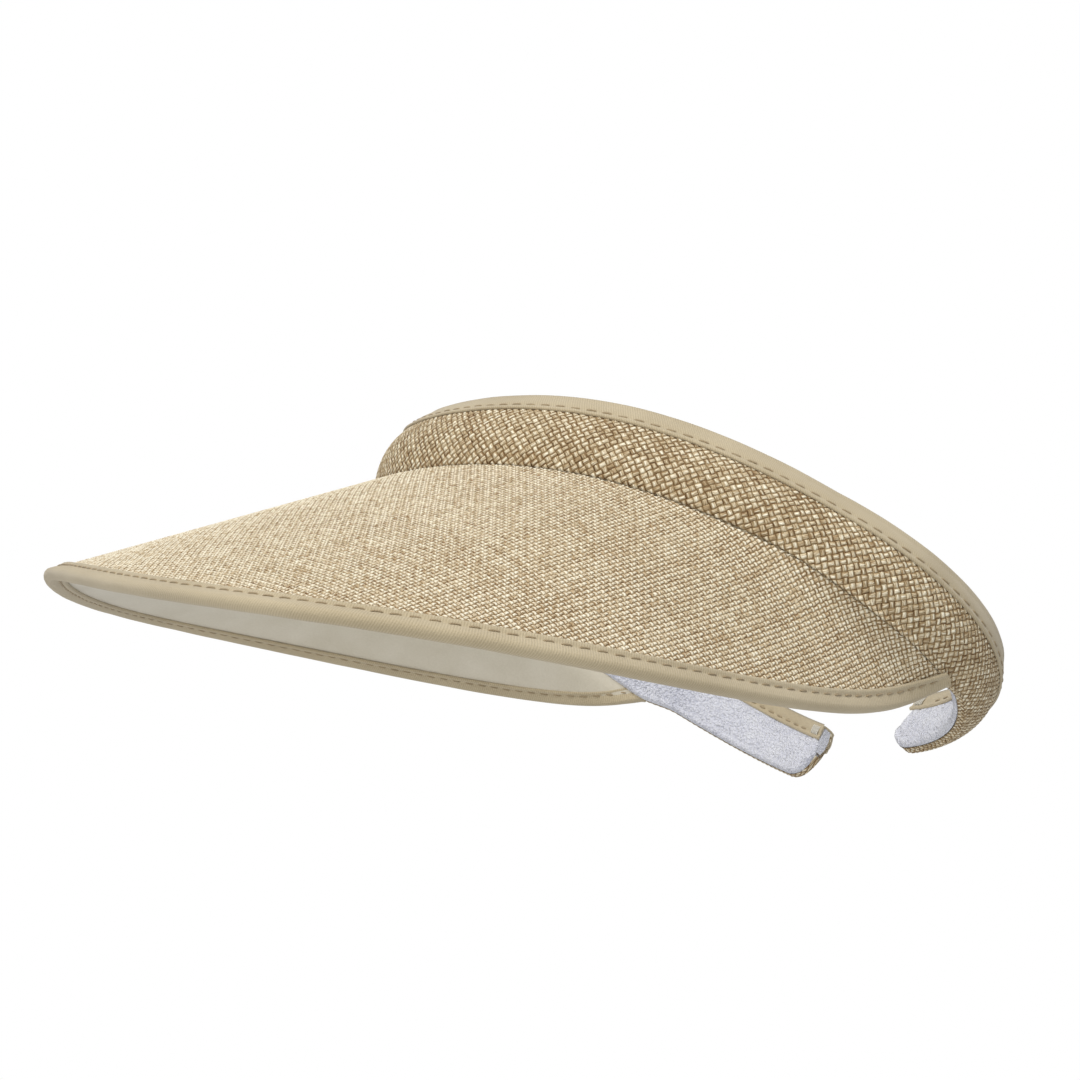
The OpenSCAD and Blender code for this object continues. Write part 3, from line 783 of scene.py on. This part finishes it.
def tape_outline(phi, along):
    """Tape folded over the band's top edge: outer flap, rounded top, inner flap."""
    h = band_height(phi)
    low = h - BAND_TAPE_HEIGHT
    y = low + OUTER_FLAP
    x = swell(phi, y) + GAP + tape_puff(OUTER_FLAP, along)
    x = x + TAPE_RIPPLE * ripple(along, OUTER_FLAP * 3, 3)
    inner_y = h - BAND_TAPE_INSIDE + INNER_FLAP
    inner_x = TAPE_BACK - tape_puff(INNER_FLAP, along + INNER_SHIFT)
    inner_x = inner_x - TAPE_RIPPLE * ripple(along + 9, INNER_FLAP * 3, 3.3)
    middle, half = (x[:, -1:] + inner_x[:, :1]) / 2, (x[:, -1:] - inner_x[:, :1]) / 2
    turn = np.linspace(RIM_TURN, -RIM_TURN, RIM_STEPS)
    base = (y[:, -1:] + inner_y[:, :1]) / 2
    rise = h + FOLD_RISE - base
    top_x, top_y = middle + half * sin_of(turn), base + rise * cos_of(turn) ** 0.8
    back_x = np.concatenate([TAPE_BACK + 0 * h, TAPE_BACK + GAP + 0 * h, swell(phi, h - 1.2) * 0.4,
                             swell(phi, h - 3) + GAP, swell(phi, low) + GAP], 1)
    back_y = np.concatenate([h - BAND_TAPE_INSIDE, h - TAPE, h - TAPE, h - 3, low], 1)
    all_x = np.concatenate([x, top_x, inner_x, back_x], 1)
    all_y = np.concatenate([y, top_y, inner_y, back_y], 1)
    way = np.hypot(np.diff(all_x[:1]), np.diff(all_y[:1]))
    across = np.concatenate([[0], np.cumsum(way)])[None] + 0 * all_x
    return all_x, all_y, across


STITCH_END = 5
AHEAD, AHEAD_RISE = 0.4, 0.02
ROW_STRAY, ROW_STRAY_RATE = 0.06, 2.7
TACK_COUNT = 5
TACK_START, TACK_PITCH = 0.9, 0.42
TACK_LENGTH, TACK_OUT, TACK_RISE = 2.8, 0.62, 2.1


def upright(phi, x, y):
    """Directions up the band's face."""
    return unit(band_point(phi, x, y + 0.5) - band_point(phi, x, y - 0.5))


def band_stitches(side):
    """Stitches along the band's tape, outside and inside, one half of the band."""
    phi, _ = half_angles(side, STITCH_PITCH)
    phi = phi[from_tip(phi) > STITCH_END]
    phi = (phi[:-1] + phi[1:]) / 2
    places, ways, outs = [], [], []
    for inner in (False, True):
        if inner:
            y = band_height(phi) - BAND_TAPE_INSIDE + STITCH_INSET
            x = TAPE_BACK - STITCH_OUT + 0 * phi
        else:
            y = band_height(phi) - BAND_TAPE_HEIGHT + STITCH_INSET
            x = swell(phi, y) + GAP + STITCH_OUT
        y = y + ROW_STRAY * np.sin(phi * ROW_STRAY_RATE)
        way = unit(band_point(phi + AHEAD, x, y + AHEAD_RISE) - band_point(phi - AHEAD, x, y))
        places.append(band_point(phi, x, y))
        ways.append(way)
        outs.append(np.cross(way, upright(phi, x, y)) * (-1 if inner else 1))
    return stitch_row("band_stitches_" + side, np.concatenate(places), np.concatenate(ways),
                      np.concatenate(outs))


def bartack(side):
    """Close row of upright stitches over the tape's folded end, inside an arm's tip."""
    sign, end = (1, ARM_END[0]) if side == "left" else (-1, ARM_END[1])
    phi = sign * (end - TACK_START - TACK_PITCH * np.arange(TACK_COUNT))
    y = band_height(phi) - BAND_TAPE_INSIDE + TACK_RISE
    x = np.full(TACK_COUNT, TAPE_BACK - TACK_OUT)
    place = band_point(phi, x, y)
    out = unit(band_point(phi, x - 1, y) - place)
    return stitch_row(side + "_bartack", place, upright(phi, x, y), out, TACK_LENGTH)


# ---- Materials ----------------------------------------------------------------------------------

class Graph:
    """A material's nodes, built one expression at a time."""

    def __init__(self, name, roughness, sheen=0.0):
        self.material = bpy.data.materials.new(name)
        self.material.use_nodes = True
        self.nodes, self.links = self.material.node_tree.nodes, self.material.node_tree.links
        self.surface = self.nodes["Principled BSDF"]
        self.surface.inputs["Roughness"].default_value = roughness
        self.surface.inputs["Specular IOR Level"].default_value = 0.25
        self.surface.inputs["Sheen Weight"].default_value = sheen
        self.surface.inputs["Sheen Roughness"].default_value = 0.6

    def set(self, socket, value):
        if isinstance(value, bpy.types.NodeSocket):
            self.links.new(value, socket)
        else:
            socket.default_value = value

    def math(self, operation, *values):
        node = self.nodes.new("ShaderNodeMath")
        node.operation = operation
        for socket, value in zip(node.inputs, values):
            self.set(socket, value)
        return node.outputs[0]

    def add(self, a, b):
        return self.math("ADD", a, b)

    def less(self, a, b):
        return self.math("SUBTRACT", a, b)

    def times(self, a, b):
        return self.math("MULTIPLY", a, b)

    def weigh(self, *parts):
        """Sum of values, each given with its weight."""
        terms = [self.times(value, weight) for value, weight in parts]
        total = terms[0]
        for term in terms[1:]:
            total = self.add(total, term)
        return total

    def from_middle(self, share):
        """0 in the middle of a yarn and 1 at its two sides."""
        return self.math("ABSOLUTE", self.less(self.times(share, 2.0), 1.0))

    def mix(self, share, a, b, way="MIX"):
        node = self.nodes.new("ShaderNodeMix")
        node.data_type, node.blend_type = "RGBA", way
        self.set(node.inputs[0], share)
        self.set(node.inputs[6], a)
        self.set(node.inputs[7], b)
        return node.outputs[2]

    def ramp(self, value, *stops):
        node = self.nodes.new("ShaderNodeValToRGB")
        band = node.color_ramp
        while len(band.elements) < len(stops):
            band.elements.new(0.5)
        for element, (place, colour) in zip(band.elements, stops):
            element.position, element.color = place, colour
        self.set(node.inputs[0], value)
        return node.outputs[0]

    def vector(self, x, y, z=0.0):
        node = self.nodes.new("ShaderNodeCombineXYZ")
        for socket, value in zip(node.inputs, (x, y, z)):
            self.set(socket, value)
        return node.outputs[0]

    def cloth(self):
        node = self.nodes.new("ShaderNodeAttribute")
        node.attribute_name = "cloth"
        parts = self.nodes.new("ShaderNodeSeparateXYZ")
        self.links.new(node.outputs["Vector"], parts.inputs[0])
        return parts.outputs[0], parts.outputs[1]

    def place(self):
        return self.nodes.new("ShaderNodeTexCoord").outputs["Object"]

    def noise(self, where, scale, detail=2.0):
        node = self.nodes.new("ShaderNodeTexNoise")
        self.links.new(where, node.inputs["Vector"])
        node.inputs["Scale"].default_value = scale
        node.inputs["Detail"].default_value = detail
        return node.outputs[0]

    def random(self, where):
        node = self.nodes.new("ShaderNodeTexWhiteNoise")
        node.noise_dimensions = "3D"
        self.links.new(where, node.inputs["Vector"])
        return node.outputs["Value"]

    def finish(self, colour, height=None, distance=0.0001, strength=1.0):
        self.set(self.surface.inputs["Base Color"], colour)
        if height is not None:
            bump = self.nodes.new("ShaderNodeBump")
            bump.inputs["Distance"].default_value = distance
            bump.inputs["Strength"].default_value = strength
            self.links.new(height, bump.inputs["Height"])
            self.links.new(bump.outputs[0], self.surface.inputs["Normal"])
        return self.material


def rgb(r, g, b):
    """A colour given by its 8-bit display values, as a shader takes it."""
    shares = [v / 255 for v in (r, g, b)]
    linear = [v / 12.92 if v < 0.04045 else ((v + 0.055) / 1.055) ** 2.4 for v in shares]
    return (*linear, 1.0)


WANDER_SCALE, WANDER_U, WANDER_V = 0.45, 0.3, -0.26
WIDTH_LEAST, WIDTH_SPREAD = 0.95, 0.4
TONE_LENGTH, STREAK_WIDTH, STREAK_LENGTH = 0.28, 5.5, 0.9
TONE_SHARE, PATCH_SHARE, STREAK_SHARE = 0.36, 0.18, 1.1
YARN_ROUNDNESS, END_DIP = 2.2, 0.55
WEFT_SHIFT, ROW_SPREAD, PATCH_SEED, WIDTH_SEED = 517.0, 3.7, 4.5, 9.5
HIGHLIGHT = rgb(255, 248, 228)
# yarn profile to colour: painted shade in the holes, rising to a painted highlight on each yarn's
# crown
HOLE_SHADE_TO_CROWN_HIGHLIGHT = ((0.0, rgb(152, 126, 94)), (0.3, rgb(216, 200, 172)), (0.62, rgb(238, 229, 211)),
               (0.95, rgb(255, 255, 252)))


def yarn_counts(g, bias):
    """How many yarns have been passed each way, wandering a little from the even grid."""
    u, v = g.cloth()
    if bias:
        scale = 1 / (math.sqrt(2) * BAND_YARN)
        u, v = g.times(g.add(u, v), scale), g.times(g.less(u, v), scale)
    stray = g.less(g.noise(g.vector(u, v), WANDER_SCALE, 1.0), 0.5)
    return g.add(u, g.times(stray, WANDER_U)), g.add(v, g.times(stray, WANDER_V))


def straw_material(name, bias, pale, tan, brown):
    """Plain-woven paper straw: every yarn has its own tone, with fibre streaks, painted shade in
    the holes and painted highlights.
    """
    g = Graph(name, 0.62, 0.04)
    u, v = yarn_counts(g, bias)
    i, j = g.math("FLOOR", u), g.math("FLOOR", v)
    fu, fv = g.less(u, i), g.less(v, j)
    odd = g.math("MODULO", g.math("ABSOLUTE", g.add(i, j)), 2.0)
    even = g.less(1.0, odd)

    def pick(first, second):
        return g.add(g.times(first, even), g.times(second, odd))

    across, along = pick(fu, fv), pick(fv, fu)
    yarn, length = pick(i, g.add(j, WEFT_SHIFT)), pick(v, u)
    row = g.times(yarn, ROW_SPREAD)
    tone = g.noise(g.vector(row, g.times(length, TONE_LENGTH), odd), 1.0, 2.0)
    patch = g.random(g.vector(yarn, pick(j, i), PATCH_SEED))
    strand = g.vector(g.times(across, STREAK_WIDTH), g.times(length, STREAK_LENGTH), row)
    streak = g.noise(strand, 1.0, 2.0)
    mixed = g.weigh((tone, TONE_SHARE), (patch, PATCH_SHARE), (streak, STREAK_SHARE))
    colour = g.ramp(mixed, (0.6, brown), (0.74, tan), (0.88, pale), (1.0, HIGHLIGHT))
    width = g.add(WIDTH_LEAST, g.times(g.random(g.vector(yarn, odd, WIDTH_SEED)), WIDTH_SPREAD))
    side = g.math("MINIMUM", 1.0, g.times(g.from_middle(across), width))
    ends = g.less(1.0, g.times(g.math("POWER", g.from_middle(along), 4.0), END_DIP))
    body = g.times(g.less(1.0, g.math("POWER", side, YARN_ROUNDNESS)), ends)
    # painted shade in the holes and a painted highlight on each yarn's crown, multiplied over the
    # yarn tones
    colour = g.mix(1.0, colour, g.ramp(body, *HOLE_SHADE_TO_CROWN_HIGHLIGHT), "MULTIPLY")
    return g.finish(colour, g.weigh((body, 1.0), (streak, 0.5)), 0.0004, 1.0)


RIBS_PER_MM, RIB_SLANT = 1.9, 0.55


def tape_material(name, light, shade):
    """Fine twill tape with slanting ribs and an uneven, cloudy tone."""
    g = Graph(name, 0.8, 0.25)
    along, across = g.cloth()
    slant = g.add(along, g.times(across, RIB_SLANT))
    ribs = g.math("FRACT", g.times(slant, RIBS_PER_MM))
    rib = g.math("ABSOLUTE", g.less(ribs, 0.5))
    grain = g.noise(g.vector(g.times(along, 3.2), g.times(across, 5.0)), 1.4, 3.0)
    cloud = g.noise(g.place(), 60, 3.0)
    share = g.weigh((grain, 0.5), (cloud, 0.4), (rib, 0.5))
    height = g.weigh((rib, 1.2), (grain, 1.0))
    return g.finish(g.ramp(share, (0.3, shade), (0.75, light)), height, 0.00016, 0.55)


def terry_material():
    """Short-looped terry: bluish white, with small dimples between the loops, painted darker as
    shade.
    """
    g = Graph("terry loops", 0.95, 0.5)
    where = g.place()
    cell = g.nodes.new("ShaderNodeTexVoronoi")
    g.links.new(where, cell.inputs["Vector"])
    cell.inputs["Scale"].default_value = 1500
    fluff, cloud = g.noise(where, 2200, 3.0), g.noise(where, 170, 2.0)
    pile = g.weigh((cell.outputs["Distance"], -0.9), (fluff, 0.9))
    shades = (0.0, rgb(196, 198, 212)), (0.3, rgb(222, 223, 233)), (0.6, rgb(236, 237, 243))
    # the pile's dips colour the dimples darker: painted shade
    return g.finish(g.ramp(g.weigh((pile, 0.5), (cloud, 0.6)), *shades), pile, 0.0006, 1.0)


def lining_material():
    """Felted lining: a fine nap and faint clouds."""
    g = Graph("felted lining", 0.92, 0.3)
    where = g.place()
    fine, cloud = g.noise(where, 1800, 3.0), g.noise(where, 90, 3.0)
    share = g.weigh((fine, 0.35), (cloud, 0.65))
    colour = g.ramp(share, (0.3, rgb(203, 194, 173)), (0.7, rgb(217, 209, 191)))
    return g.finish(colour, fine, 0.00012, 0.5)


def thread_material(name, light, shade):
    """Two-ply sewing thread with its twist."""
    g = Graph(name, 0.6, 0.2)
    along, around = g.cloth()
    twist = g.math("FRACT", g.weigh((along, 1.8), (around, 1.6)))
    ply = g.math("ABSOLUTE", g.less(twist, 0.5))
    return g.finish(g.ramp(ply, (0.0, shade), (0.35, light)), ply, 0.0001, 0.8)


def plain_material(name, light, shade, roughness, scale):
    """Moulded or foamed sheet that stays inside the layers: cloudy tone and a fine surface."""
    g = Graph(name, roughness)
    where = g.place()
    grain, cloud = g.noise(where, scale, 2.0), g.noise(where, 80, 2.0)
    share = g.weigh((grain, 0.4), (cloud, 0.6))
    return g.finish(g.ramp(share, (0.3, shade), (0.7, light)), grain, 0.0001, 0.4)


def dress(piece, material):
    """Give a piece its material."""
    piece.data.materials.clear()
    piece.data.materials.append(material)
    return piece


BRIM_TONES = rgb(250, 241, 222), rgb(228, 212, 183), rgb(190, 164, 128)
# the brim's straw in darker tones: painted shade on the upright band
SHADED_BAND_TONES = rgb(226, 213, 188), rgb(197, 178, 145), rgb(158, 132, 98)
brim_cloth_look = straw_material("straw cloth", False, *BRIM_TONES)
band_cloth_look = straw_material("straw cloth on the bias", True, *SHADED_BAND_TONES)
tape_look = tape_material("khaki twill tape", rgb(196, 181, 150), rgb(164, 148, 117))
terry_look = terry_material()
lining_look = lining_material()
thread_look = thread_material("tan thread", rgb(176, 156, 122), rgb(122, 104, 78))
tack_look = thread_material("pale thread", rgb(226, 222, 210), rgb(168, 160, 142))
foam_look = plain_material("soft foam", rgb(240, 234, 214), rgb(226, 218, 196), 0.9, 900)
board_look = plain_material("stiffener board", rgb(238, 238, 232), rgb(226, 226, 220), 0.6, 500)
spring_look = plain_material("milky plastic", rgb(222, 228, 234), rgb(206, 214, 222), 0.35, 300)

# ---- Pieces -------------------------------------------------------------------------------------

BLEND_START = BRIM_END + 0.6
BLEND_END = BRIM_END + 7


def across_the_flex(piece, side):
    """Bake the piece's place into its mesh; it rides on no body, and the start and end worked out
    for the turn into the arm are not used.
    """
    sign = 1 if side == "left" else -1
    start, end = (band_point(sign * a, 0, MID_HEIGHT)[1] * MM for a in (BLEND_START, BLEND_END))
    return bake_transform(piece)


fixed = [
    (brim_straw(), brim_cloth_look, "straw_cloth", "brim_cover"),
    (brim_sheet("brim_stiffener", LINING_TOP - GAP - BOARD, LINING_TOP - GAP, 0), board_look,
     "stiffener_board", "brim_board"),
    (brim_sheet("brim_lining_cloth", LINING_TOP, LINING_BOTTOM, 1), lining_look, "lining_cloth",
     "brim_lining"),
    (brim_tape(), tape_look, "khaki_tape", "brim_binding"),
    (brim_stitches("brim_stitches_top", False), thread_look, "thread", "brim_top_thread"),
    (brim_stitches("brim_stitches_under", True), thread_look, "thread", "brim_under_thread")]
for piece, look, slot, node in fixed:
    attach(dress(piece, look), "front")
    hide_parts(node)

# name, step along the band, outline, how far short of the tip it ends, look, slot, CAD node
LAYERS = [
    ("band_straw", BAND_STEP, straw_outline, 0, band_cloth_look, "straw_cloth", "cover"),
    ("band_pad", 2.4, pad_outline, 2, foam_look, "foam_pad", "foam"),
    ("band_spring", 2.4, spring_outline, 2, spring_look, "spring_plastic", "spring"),
    ("band_terry", 0.7, terry_outline, 0, terry_look, "terry", "sweatband"),
    ("band_tape", STITCH_PITCH / 5, tape_outline, 0, tape_look, "khaki_tape", "binding")]
for side in ("left", "right"):
    for name, step, outline, short, look, slot, node in LAYERS:
        piece = dress(band_sweep(name, side, step, outline, short), look)
        across_the_flex(piece, side)
        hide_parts("band_" + node, side + "_arm_" + node)
    row = dress(band_stitches(side), thread_look)
    across_the_flex(row, side)
    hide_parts("band_binding_thread", side + "_arm_binding_thread")
    tack = dress(bartack(side), tack_look)
    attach(tack, side + "_arm")
    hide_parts(side + "_arm_bartack")

# ---- Floor, light and camera --------------------------------------------------------------------

FLOOR_DROP = 0.36
FLOOR_RADIUS = 3
FLOOR_GLOW = 0.45
AMBIENT = 0.5
# both lamps stand right, up and back from the origin as the camera sees it, in metres
KEY_PLACE, KEY_TARGET, KEY_SIZE, KEY_POWER = Vector((-0.1, 0.75, 0.38)), (0, -0.03, 0), 0.6, 5.1
FILL_PLACE, FILL_TARGET, FILL_SIZE, FILL_POWER = Vector((0, -0.1, 0.9)), (0, 0, 0), 0.7, 1.6
WARM = (1, 0.99, 0.98)
COOL = (0.97, 0.985, 1, 1)
WHITE = (1, 1, 1, 1)
CAMERA_AZIMUTH = 70.342
CAMERA_ELEVATION = -14.665
CAMERA_ROLL = 28.679
CAMERA_DISTANCE = 443.2
SENSOR = 36
LENS = 65.7533
SHIFT = (-0.068389, 0.082889)
NEAREST = 0.01


def stage():
    """A pale round floor well below the visor, and soft light from every side."""
    mesh = bpy.data.meshes.new("floor")
    work = bmesh.new()
    bmesh.ops.create_circle(work, cap_ends=True, segments=96, radius=FLOOR_RADIUS)
    work.to_mesh(mesh)
    work.free()
    floor = bpy.data.objects.new("floor", mesh)
    floor.location.z = cad_box[0][2] - FLOOR_DROP
    bpy.context.scene.collection.objects.link(floor)
    g = Graph("pale floor", 0.9)
    pale = g.ramp(g.noise(g.place(), 4), (0.3, rgb(249, 249, 249)), (0.7, rgb(252, 252, 252)))
    g.set(g.surface.inputs["Emission Color"], pale)
    seen_by_camera = g.nodes.new("ShaderNodeLightPath").outputs["Is Camera Ray"]
    g.set(g.surface.inputs["Emission Strength"], g.times(seen_by_camera, FLOOR_GLOW))
    mesh.materials.append(g.finish(pale))

    world = bpy.data.worlds.new("studio")
    world.use_nodes = True
    bpy.context.scene.world = world
    nodes, links = world.node_tree.nodes, world.node_tree.links
    seen, shine = nodes["Background"], nodes.new("ShaderNodeBackground")
    path, mix = nodes.new("ShaderNodeLightPath"), nodes.new("ShaderNodeMixShader")
    seen.inputs[0].default_value, seen.inputs[1].default_value = WHITE, 1.0
    shine.inputs[0].default_value, shine.inputs[1].default_value = COOL, AMBIENT
    links.new(path.outputs["Is Camera Ray"], mix.inputs[0])
    links.new(shine.outputs[0], mix.inputs[1])
    links.new(seen.outputs[0], mix.inputs[2])
    links.new(mix.outputs[0], nodes["World Output"].inputs[0])


def area_light(name, place, target, size, power, tint=(1, 1, 1)):
    """A soft round lamp that lights the visor but never shows in the picture."""
    lamp = bpy.data.lights.new(name, "AREA")
    lamp.shape, lamp.size, lamp.energy, lamp.color = "DISK", size, power, tint
    holder = bpy.data.objects.new(name, lamp)
    holder.location = place
    holder.visible_camera = False
    holder.rotation_euler = (Vector(target) - Vector(place)).to_track_quat("-Z", "Y").to_euler()
    bpy.context.scene.collection.objects.link(holder)


def camera():
    """The photograph's viewpoint: low, from the wearer's front left, and tilted."""
    az, el, roll = (math.radians(a) for a in (CAMERA_AZIMUTH, CAMERA_ELEVATION, CAMERA_ROLL))
    back = Vector((math.sin(az) * math.cos(el), -math.cos(az) * math.cos(el), math.sin(el)))
    level = Vector((math.cos(az), math.sin(az), 0))
    above = back.cross(level)
    right = level * math.cos(roll) + above * math.sin(roll)
    up = above * math.cos(roll) - level * math.sin(roll)
    lens = bpy.data.cameras.new("camera")
    lens.sensor_width, lens.lens, lens.clip_start = SENSOR, LENS, NEAREST
    lens.shift_x, lens.shift_y = SHIFT
    holder = bpy.data.objects.new("camera", lens)
    holder.matrix_world = Matrix.Translation(back * CAMERA_DISTANCE * MM) @ Matrix(
        (right, up, back)).transposed().to_4x4()
    bpy.context.scene.collection.objects.link(holder)
    bpy.context.scene.camera = holder
    return back, right, up


stage()
back, right, up = camera()
view = Matrix((right, up, back)).transposed()
area_light("key", view @ KEY_PLACE, KEY_TARGET, KEY_SIZE, KEY_POWER, WARM)
area_light("fill", view @ FILL_PLACE, FILL_TARGET, FILL_SIZE, FILL_POWER)
bpy.context.scene.view_settings.view_transform = "Standard"
